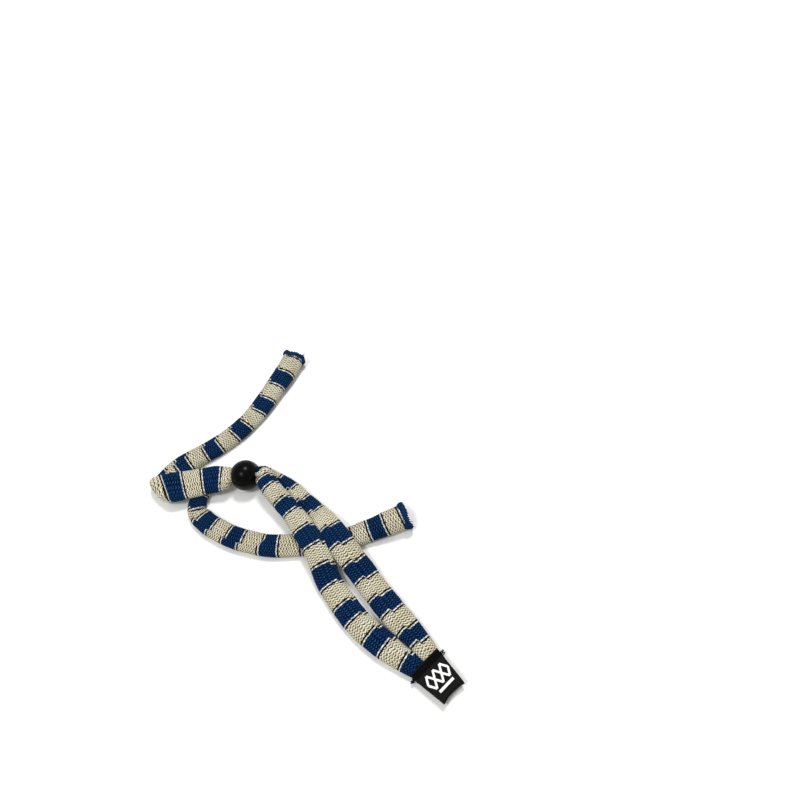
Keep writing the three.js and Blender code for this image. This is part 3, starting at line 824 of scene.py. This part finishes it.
def thread_tube(line, radius):
    """Points and faces of one closed round thread along a line of points."""
    along = np.gradient(line, axis=0)
    along /= np.linalg.norm(along, axis=1, keepdims=True)
    # The section is set out from the vertical, or from +X where the thread itself stands upright.
    helper = np.where(np.abs(along[:, 2:]) > 0.9, [[1.0, 0, 0]], [[0, 0, 1.0]])
    across = np.cross(helper, along)
    across /= np.linalg.norm(across, axis=1, keepdims=True)
    up = np.cross(along, across)
    angle = turns(THREAD_SIDES)[None, :, None]
    taper = np.ones(len(line))
    taper[[0, -1]] = THREAD_TIP
    reach = radius * taper[:, None, None]
    ring = across[:, None] * np.cos(angle) + up[:, None] * np.sin(angle)
    points = (line[:, None] + ring * reach).reshape(-1, 3)
    return points, capped_faces(len(line), THREAD_SIDES)


def joined(parts):
    """One set of points and faces from several."""
    points, faces, first = [], [], 0
    for part_points, part_faces in parts:
        points.append(part_points)
        faces += [[first + k for k in face] for face in part_faces]
        first += len(part_points)
    return np.vstack(points), faces


def thread_material(name, yarn, fibre_shade, fleck):
    """Fuzzy thread, with painted shade between its fibres, and flecked on a few of them."""
    material, n, shader = new_material(name)
    fibre = n.noise(n.object_place(), 1700.0, 3.0, 0.7)
    # Painted shade between the fibres.
    base = n.mix(n.ramp(fibre, 0.35, 0.6), fibre_shade, yarn)
    base = n.mix(n.ramp(fibre, 0.64, 0.76), base, fleck)
    dress(n, shader, base, 0.08, 0.85, (0.5, 0.1, fibre))
    return material


# ---------- hems at the sleeves' mouths ----------

HEM_MIDDLE = 0.9  # distance of the rolled hem's middle from the mouth
HEM_WIDTH = 11.2
HEM_HEIGHT = 8.4
HEM_HALF_LENGTH = 1.35
HEM_HALF_THICK = 0.8
HEM_FLARE = 0.35  # how far the rim spreads between its middle and its edge
HEM_WRAPS = 32  # turns of thread round the mouth
WRAP_SIDES = 8  # mesh points to each turn
WRAP_RELIEF = 0.2  # height of the wraps as a share of the hem's
HEM_SECTION = 14  # mesh points round the hem's section
LOOSE_THREADS = 7
LOOSE_RADIUS = 0.14
HEM_THREAD = thread_material("hem_thread", colour(0x0D3564), colour(0x020814), colour(0x4F7BA6))


def rolled_hem(tube, rng):
    """A ring of wrapped thread round the mouth, a little wavy and flared."""
    centre, along, across, up = [v[0] for v in tube.route.frames(np.array([HEM_MIDDLE]))]
    around = HEM_WRAPS * WRAP_SIDES
    outline = oval(around)
    turn = turns(around)
    normal = outline / np.linalg.norm(outline, axis=1, keepdims=True)
    wave = 0.36 * np.sin(3 * turn + rng.uniform(0, 6)) + 0.22 * np.sin(7 * turn + rng.uniform(0, 6))
    psi = turns(HEM_SECTION)
    wrap = 1 + WRAP_RELIEF * np.cos(HEM_WRAPS * turn[:, None] + 2 * psi[None])
    forward = HEM_HALF_LENGTH * np.cos(psi)[None] * wrap
    outward = HEM_HALF_THICK * np.sin(psi)[None] * wrap - HEM_FLARE * np.cos(psi)[None]
    a = outline[:, :1] * HEM_WIDTH + normal[:, :1] * outward
    t = outline[:, 1:] * HEM_HEIGHT + normal[:, 1:] * outward
    f = wave[:, None] + forward
    points = centre + across * a[..., None] + up * t[..., None] + along * f[..., None]
    points[..., 2] = np.maximum(points[..., 2], 0)
    return points.reshape(-1, 3), ring_faces(around, HEM_SECTION, closed=True).tolist()


def loose_threads(tube, rng):
    """Short ends of serging thread round the rim."""
    centre, along, across, up = [v[0] for v in tube.route.frames(np.array([0.0]))]
    parts = []
    for share in rng.uniform(0, 1, LOOSE_THREADS):
        angle = 2 * math.pi * share
        a, t = math.cos(angle) * HEM_WIDTH / 2, math.sin(angle) * HEM_HEIGHT / 2
        start = centre + across * a + up * t
        out = (across * a + up * t) / math.hypot(a, t)
        bend = across * rng.normal() * 0.5 + up * rng.normal() * 0.4
        steps = np.linspace(0, 1, 7)[:, None]
        reach = rng.uniform(1.0, 2.3)
        line = start + out * steps * 0.5 * reach - along * steps * 0.8 * reach + bend * steps**2
        line[:, 2] = np.maximum(line[:, 2], 0.2)
        parts.append(thread_tube(line, LOOSE_RADIUS))
    return parts


def make_hem(side, tube, seed):
    rim = rolled_hem(tube, np.random.default_rng(seed))
    points, faces = joined([rim] + loose_threads(tube, np.random.default_rng(seed)))
    piece = new_object(side + "_rolled_hem", points, faces, HEM_THREAD)
    belongs(piece, side + "_sleeve", side + "_sleeve_hem")


make_hem("left", LEFT, 21)
make_hem("right", RIGHT, 22)


# ---------- bead ----------

BEAD_RIM = 0.6  # radius of the rounding at the bore's mouths
BEAD_SIDES = 96
BALL_STEPS = 56
RIM_STEPS = 10


def bead_material():
    """Black stained wood under satin lacquer."""
    material, n, shader = new_material("bead_lacquer")
    drawn_out = {"Vector": n.object_place(), "Scale": (1.0, 1.0, 0.25)}
    grain = n.noise(n.add("ShaderNodeMapping", drawn_out).outputs[0], 900.0, 4.0, 0.6)
    base = n.mix(grain, colour(0x010101), colour(0x030404))
    dress(n, shader, base, 0.09, n.ramp(grain, -0.3, 2.8), (0.12, 0.1, grain))
    return material


def make_bead():
    """A ball turned about its bore, with a rounded rim at each mouth."""
    rim_out = BEAD_BORE + BEAD_RIM
    rim_along = math.sqrt((BEAD_RADIUS - BEAD_RIM) ** 2 - rim_out**2)
    rim_turn = math.atan2(rim_out, rim_along)
    profile = []
    for angle in np.linspace(rim_turn, math.pi - rim_turn, BALL_STEPS):
        profile.append((BEAD_RADIUS * math.cos(angle), BEAD_RADIUS * math.sin(angle)))
    rolls = np.linspace(rim_turn, -math.pi / 2, RIM_STEPS)[1:]
    for end, angles in ((-1, rolls), (1, rolls[::-1])):
        for angle in angles:
            along = end * (rim_along + BEAD_RIM * math.cos(angle))
            profile.append((along, rim_out + BEAD_RIM * math.sin(angle)))
    profile = np.array(profile)
    angle = turns(BEAD_SIDES)[:, None]
    out = BEAD_LEFT * np.cos(angle) + np.array([0, 0, 1.0]) * np.sin(angle)
    points = BEAD_AHEAD * profile[:, 0, None, None] + out[None] * profile[:, 1, None, None]
    points[..., 2] += BEAD_RADIUS
    faces = ring_faces(len(profile), BEAD_SIDES, closed=True)[:, [0, 3, 2, 1]].tolist()
    piece = new_object("turned_bead", points.reshape(-1, 3), faces, bead_material())
    belongs(piece, "bead", "slider_bead")


make_bead()


# ---------- label ----------

LABEL_LENGTH = 17.0
LABEL_MOUTH_WIDTH = 14.6
LABEL_FOLD_WIDTH = 11.0
LABEL_THICK = 3.6  # at the mouth, over the tube ends
LABEL_FOLD_THICK = 2.0
RIBBON = 0.5  # thickness of the ribbon itself
NOTCH = 1.1  # how far the folded end dips in between its corners
CROWN = 0.35  # how much the mouth bulges over the tubes
SAG = 0.12  # of the ribbon's slow waves
SAG_START = 4  # distance from the mouth over which they set in
LOWER_PLY = 0.96  # the lower ply's height as a share of the upper's
RIB_PITCH = 0.28  # of the satin's weave, along the ribbon and across it
PICK_PITCH = 0.36
SEAM_FROM, SEAM_TO = 0.9, 3.1


def label_width(x):
    """At x from the mouth."""
    return LABEL_MOUTH_WIDTH + (LABEL_FOLD_WIDTH - LABEL_MOUTH_WIDTH) * x / LABEL_LENGTH


def label_half(x):
    """Half the label's thickness at x from the mouth."""
    return (LABEL_THICK + (LABEL_FOLD_THICK - LABEL_THICK) * x / LABEL_LENGTH) / 2


def label_to_strap(points):
    """Points in the label's own axes, with x from its mouth towards its fold, in the script's."""
    p = np.asarray(points, float)
    cos, sin = math.cos(LABEL_LIFT), math.sin(LABEL_LIFT)
    x = LABEL_MOUTH_X + p[..., 0] * cos - p[..., 2] * sin
    z = LABEL_HEIGHT + p[..., 0] * sin + p[..., 2] * cos
    return np.stack([x, p[..., 1], z], -1)


def label_surface(x, across):
    """Height of the ribbon's middle on the upper side, across from -1 to 1."""
    body = label_half(x) - RIBBON / 2
    crown = CROWN * (1 - across**2) * (1 - x / LABEL_LENGTH)
    sag = SAG * np.sin(2.2 * across + 0.5 * x) * np.minimum(x, SAG_START) / SAG_START
    return body + crown + sag


def ribbon_point(s, across):
    """A place on the ribbon, s from 0 at its upper mouth to 2 at its lower mouth."""
    turn_from, turn_to = 0.93, 1.07  # the part of s that goes round the folded end
    reach = LABEL_LENGTH - NOTCH * (1 - across**2) - label_half(LABEL_LENGTH)
    upper_share = np.clip(s / turn_from, 0, 1)
    lower_share = np.clip((2 - s) / (2 - turn_to), 0, 1)
    turn = np.clip((s - turn_from) / (turn_to - turn_from), 0, 1) * math.pi
    share = np.where(s <= 1, upper_share, lower_share)
    flat_x = reach * share
    upper = label_surface(flat_x, across)
    flat_z = np.where(s <= 1, upper, -upper * LOWER_PLY)
    in_turn = (s > turn_from) & (s < turn_to)
    end_half = label_surface(reach, across)
    x = np.where(in_turn, reach + end_half * np.sin(turn), flat_x)
    z = np.where(in_turn, end_half * np.cos(turn), flat_z)
    y = across * label_width(x) / 2
    return np.stack([x, y, z], -1)


def satin_material():
    """Black woven satin, a little paler in patches."""
    material, n, shader = new_material("label_satin")
    place = n.uv("weave")
    along, across = n.axes(place)[:2]
    rib = n.math("SINE", n.math("MULTIPLY", along, 2 * math.pi / RIB_PITCH))
    pick = n.math("SINE", n.math("MULTIPLY", across, 2 * math.pi / PICK_PITCH))
    weave = n.math("MULTIPLY_ADD", n.math("MULTIPLY", rib, pick), 0.5, 0.5)
    slub = n.noise(place, 1.4, 3.0, 0.6)
    base = n.mix(weave, colour(0x020303), colour(0x090B0A))
    base = n.mix(n.ramp(slub, 0.45, 0.75), base, colour(0x121413))
    dress(n, shader, base, 0.1, n.ramp(slub, -0.9, 1.6), (0.5, 0.08, weave))
    return material


def make_ribbon():
    """The ribbon from its upper mouth round the fold to its lower mouth, with its thickness."""
    steps, cells = 120, 40
    lengthwise, crosswise = np.linspace(0, 2, steps + 1), np.linspace(-1, 1, cells + 1)
    s, across = np.meshgrid(lengthwise, crosswise, indexing="ij")
    middle = ribbon_point(s, across)
    ds = np.gradient(middle, axis=0)
    da = np.gradient(middle, axis=1)
    normal = np.cross(ds, da)
    normal /= np.linalg.norm(normal, axis=2, keepdims=True)
    sheets = [middle + normal * RIBBON / 2, middle - normal * RIBBON / 2]
    points = label_to_strap(np.stack(sheets).reshape(-1, 3))
    row = cells + 1
    count = (steps + 1) * row
    i = np.arange(steps)[:, None] * row
    j = np.arange(cells)[None]
    top = np.stack([i + j, i + j + row, i + j + row + 1, i + j + 1], 2).reshape(-1, 4)
    faces = top.tolist() + (top[:, ::-1] + count).tolist()
    border = list(range(row)) + [k * row + cells for k in range(1, steps + 1)]
    border += list(range(steps * row + cells - 1, steps * row - 1, -1))
    border += [k * row for k in range(steps - 1, 0, -1)]
    for a, b in zip(border, border[1:] + border[:1]):
        faces.append([a, b, b + count, a + count])
    piece = new_object("folded_ribbon", points, faces, satin_material())
    uv = piece.data.uv_layers.new(name="weave")
    along = np.tile((s * LABEL_LENGTH).ravel(), 2)
    wide = np.tile((across * LABEL_MOUTH_WIDTH / 2).ravel(), 2)
    index = np.zeros(len(piece.data.loops), np.int32)
    piece.data.loops.foreach_get("vertex_index", index)
    uv.data.foreach_set("uv", np.stack([along[index], wide[index]], 1).astype(np.float32).ravel())
    belongs(piece, "label", "label_ribbon")


def on_ribbon(x, y, lift):
    """Points over the ribbon's upper face, at x from the mouth and y across."""
    across = np.clip(2 * y / label_width(x), -1, 1)
    height = label_surface(x, across) + RIBBON / 2 + lift
    return np.stack([x, y, height], -1)


BLACK_THREAD = thread_material("black_thread", colour(0x0A0B0A), colour(0x020202), colour(0x1C1E1D))
SEAM_HALF_WIDTH = 7.15
STITCH_SPAN = 6.9  # how far each way from the label's middle the stitches go
STITCH_PITCH = 0.62
STITCH_SLANT = 0.45
STITCH_RADIUS = 0.2
EDGE_RADIUS = 0.22  # of the threads that run along the edges of the band
EDGE_WAVE = 0.1


def make_seam():
    """Overlocked stitches in a band round the mouth, above and below."""
    rng = np.random.default_rng(31)
    parts = []
    for face in (np.array([1, 1, 1.0]), np.array([1, 1, -1.0])):
        for middle in np.arange(-STITCH_SPAN, STITCH_SPAN + 0.1, STITCH_PITCH):
            steps = np.linspace(0, 1, 6)
            x = SEAM_FROM + (SEAM_TO - SEAM_FROM) * steps
            y = middle + STITCH_SLANT * (steps - 0.5) + rng.normal() * 0.05
            line = on_ribbon(x, np.clip(y, -7.1, 7.1), 0.1 + 0.12 * np.sin(steps * math.pi))
            parts.append(thread_tube(label_to_strap(line * face), STITCH_RADIUS))
        for x in (SEAM_FROM, SEAM_TO):
            y = np.linspace(-SEAM_HALF_WIDTH, SEAM_HALF_WIDTH, 90)
            line = on_ribbon(x + EDGE_WAVE * np.sin(y * 10), y, 0.14 + 0.08 * np.cos(y * 10))
            parts.append(thread_tube(label_to_strap(line * face), EDGE_RADIUS))
    points, faces = joined(parts)
    piece = new_object("seam_stitches", points, faces, BLACK_THREAD)
    belongs(piece, "label", "label_seam")


TANGLE_STRANDS = 5
TANGLE_RADIUS = 0.24


def make_thread_end(name, node, side, seed):
    """A short tangle of seam thread at one edge of the mouth, side 1 or -1."""
    rng = np.random.default_rng(seed)
    parts = []
    for _ in range(TANGLE_STRANDS):
        steps = np.linspace(0, 1, 16)
        phase = rng.uniform(0, 2 * math.pi)
        reach = rng.uniform(1.3, 2.3)
        curl = rng.uniform(0.25, 0.5)
        x = 1.2 + rng.uniform(0, 1.2) + rng.normal() * 0.4 * steps + curl * np.sin(5 * steps + phase)
        y = side * (6.9 + reach * steps + 0.15 * np.cos(9 * steps + phase))
        z = 0.2 * rng.normal() + curl * np.cos(5 * steps + phase) * steps
        parts.append(thread_tube(label_to_strap(np.stack([x, y, z], 1)), TANGLE_RADIUS))
    points, faces = joined(parts)
    piece = new_object(name, points, faces, BLACK_THREAD)
    belongs(piece, "label", node)


def print_material():
    """White ink, thin in specks."""
    material, n, shader = new_material("label_print")
    worn = n.noise(n.object_place(), 1800.0, 3.0, 0.7)
    base = n.mix(n.ramp(worn, 0.3, 0.5), colour(0xC9CAC8), colour(0xF4F4F2))
    dress(n, shader, base, 0.5, 0.6, (0.3, 0.05, worn))
    return material


PRINT_LIFT = 0.09  # how far the print stands over the ribbon
PRINT_ROOT = -0.05  # and how far it reaches into it
DIAMONDS = 3
DIAMOND_PITCH = 3.5
DIAMOND_NEAR, DIAMOND_FAR = 5.0, 11.2
DIAMOND_LINE = 0.85
BAR_X = 12.8
BAR_HALF = 3.7
BAR_LINE = 1.1


def printed_line(a, b, width):
    """A thin raised bar on the ribbon from a to b, in the label's x and y."""
    a, b = np.array(a, float), np.array(b, float)
    along = (b - a) / np.linalg.norm(b - a)
    across = np.array([-along[1], along[0]]) * width / 2
    places = 9
    middle = a + (b - a) * np.linspace(0, 1, places)[:, None]
    rows = []
    for side, lift in ((1, PRINT_LIFT), (-1, PRINT_LIFT), (-1, PRINT_ROOT), (1, PRINT_ROOT)):
        edge = middle + across * side
        rows.append(on_ribbon(edge[:, 0], edge[:, 1], lift))
    points = label_to_strap(np.stack(rows, 1).reshape(-1, 3))
    return points, [face[::-1] for face in capped_faces(places, 4)]


def make_print():
    """A plain chain of open diamonds with a bar under it."""
    white = print_material()
    middle = (DIAMOND_NEAR + DIAMOND_FAR) / 2
    half = DIAMOND_PITCH / 2
    parts = []
    for i in range(DIAMONDS):
        y = (i - (DIAMONDS - 1) / 2) * DIAMOND_PITCH
        corners = [(DIAMOND_NEAR, y), (middle, y + half), (DIAMOND_FAR, y), (middle, y - half)]
        for a, b in zip(corners, corners[1:] + corners[:1]):
            parts.append(printed_line(a, b, DIAMOND_LINE))
    points, faces = joined(parts)
    motif = new_object("print_motif", points, faces, white, smooth=False)
    belongs(motif, "label", "label_print_motif")
    points, faces = printed_line((BAR_X, -BAR_HALF), (BAR_X, BAR_HALF), BAR_LINE)
    bar = new_object("print_bar", points, faces, white, smooth=False)
    belongs(bar, "label", "label_print_bar")


make_ribbon()
make_seam()
make_thread_end("thread_tangle_left", "label_thread_end_left", 1, 41)
make_thread_end("thread_tangle_right", "label_thread_end_right", -1, 42)
make_print()


# ---------- floor and lights, in metres ----------

FLOOR_SIZE = 6.0
LIGHT_DISTANCE = 1.5
WORLD_STRENGTH = 0.54


def make_floor():
    """A white paper sweep, very slightly uneven in tone."""
    material, n, shader = new_material("paper_white")
    tone = n.noise(n.object_place(), 6.0)
    dress(n, shader, n.mix(tone, colour(0xF6F6F4), colour(0xFAFAF9)), 0.1, 0.9)
    half = FLOOR_SIZE / 2
    corners = [(-half, -half, 0), (half, -half, 0), (half, half, 0), (-half, half, 0)]
    mesh = bpy.data.meshes.new("floor")
    mesh.from_pydata(corners, [], [(0, 1, 2, 3)])
    mesh.materials.append(material)
    floor = bpy.data.objects.new("floor", mesh)
    floor.location.z = cad_box[0][2]
    bpy.context.scene.collection.objects.link(floor)


def area_light(name, direction, size, power):
    """A round softbox that faces the origin from the direction given."""
    data = bpy.data.lights.new(name, "AREA")
    data.shape = "DISK"
    data.size = size
    data.energy = power
    light = bpy.data.objects.new(name, data)
    bpy.context.scene.collection.objects.link(light)
    towards = Vector(direction).normalized()
    light.location = towards * LIGHT_DISTANCE
    light.rotation_euler = towards.to_track_quat("Z", "Y").to_euler()


def make_lights():
    world = bpy.data.worlds.new("studio")
    world.use_nodes = True
    background = world.node_tree.nodes["Background"]
    background.inputs["Color"].default_value = (1, 1, 1, 1)
    background.inputs["Strength"].default_value = WORLD_STRENGTH
    bpy.context.scene.world = world
    area_light("softbox_back", (-0.17, 0.37, 0.9), 0.36, 11.2)
    area_light("softbox_front", (0.05, -0.42, 0.9), 0.35, 7.4)
    bpy.context.scene.view_settings.view_transform = "Standard"


make_floor()
make_lights()
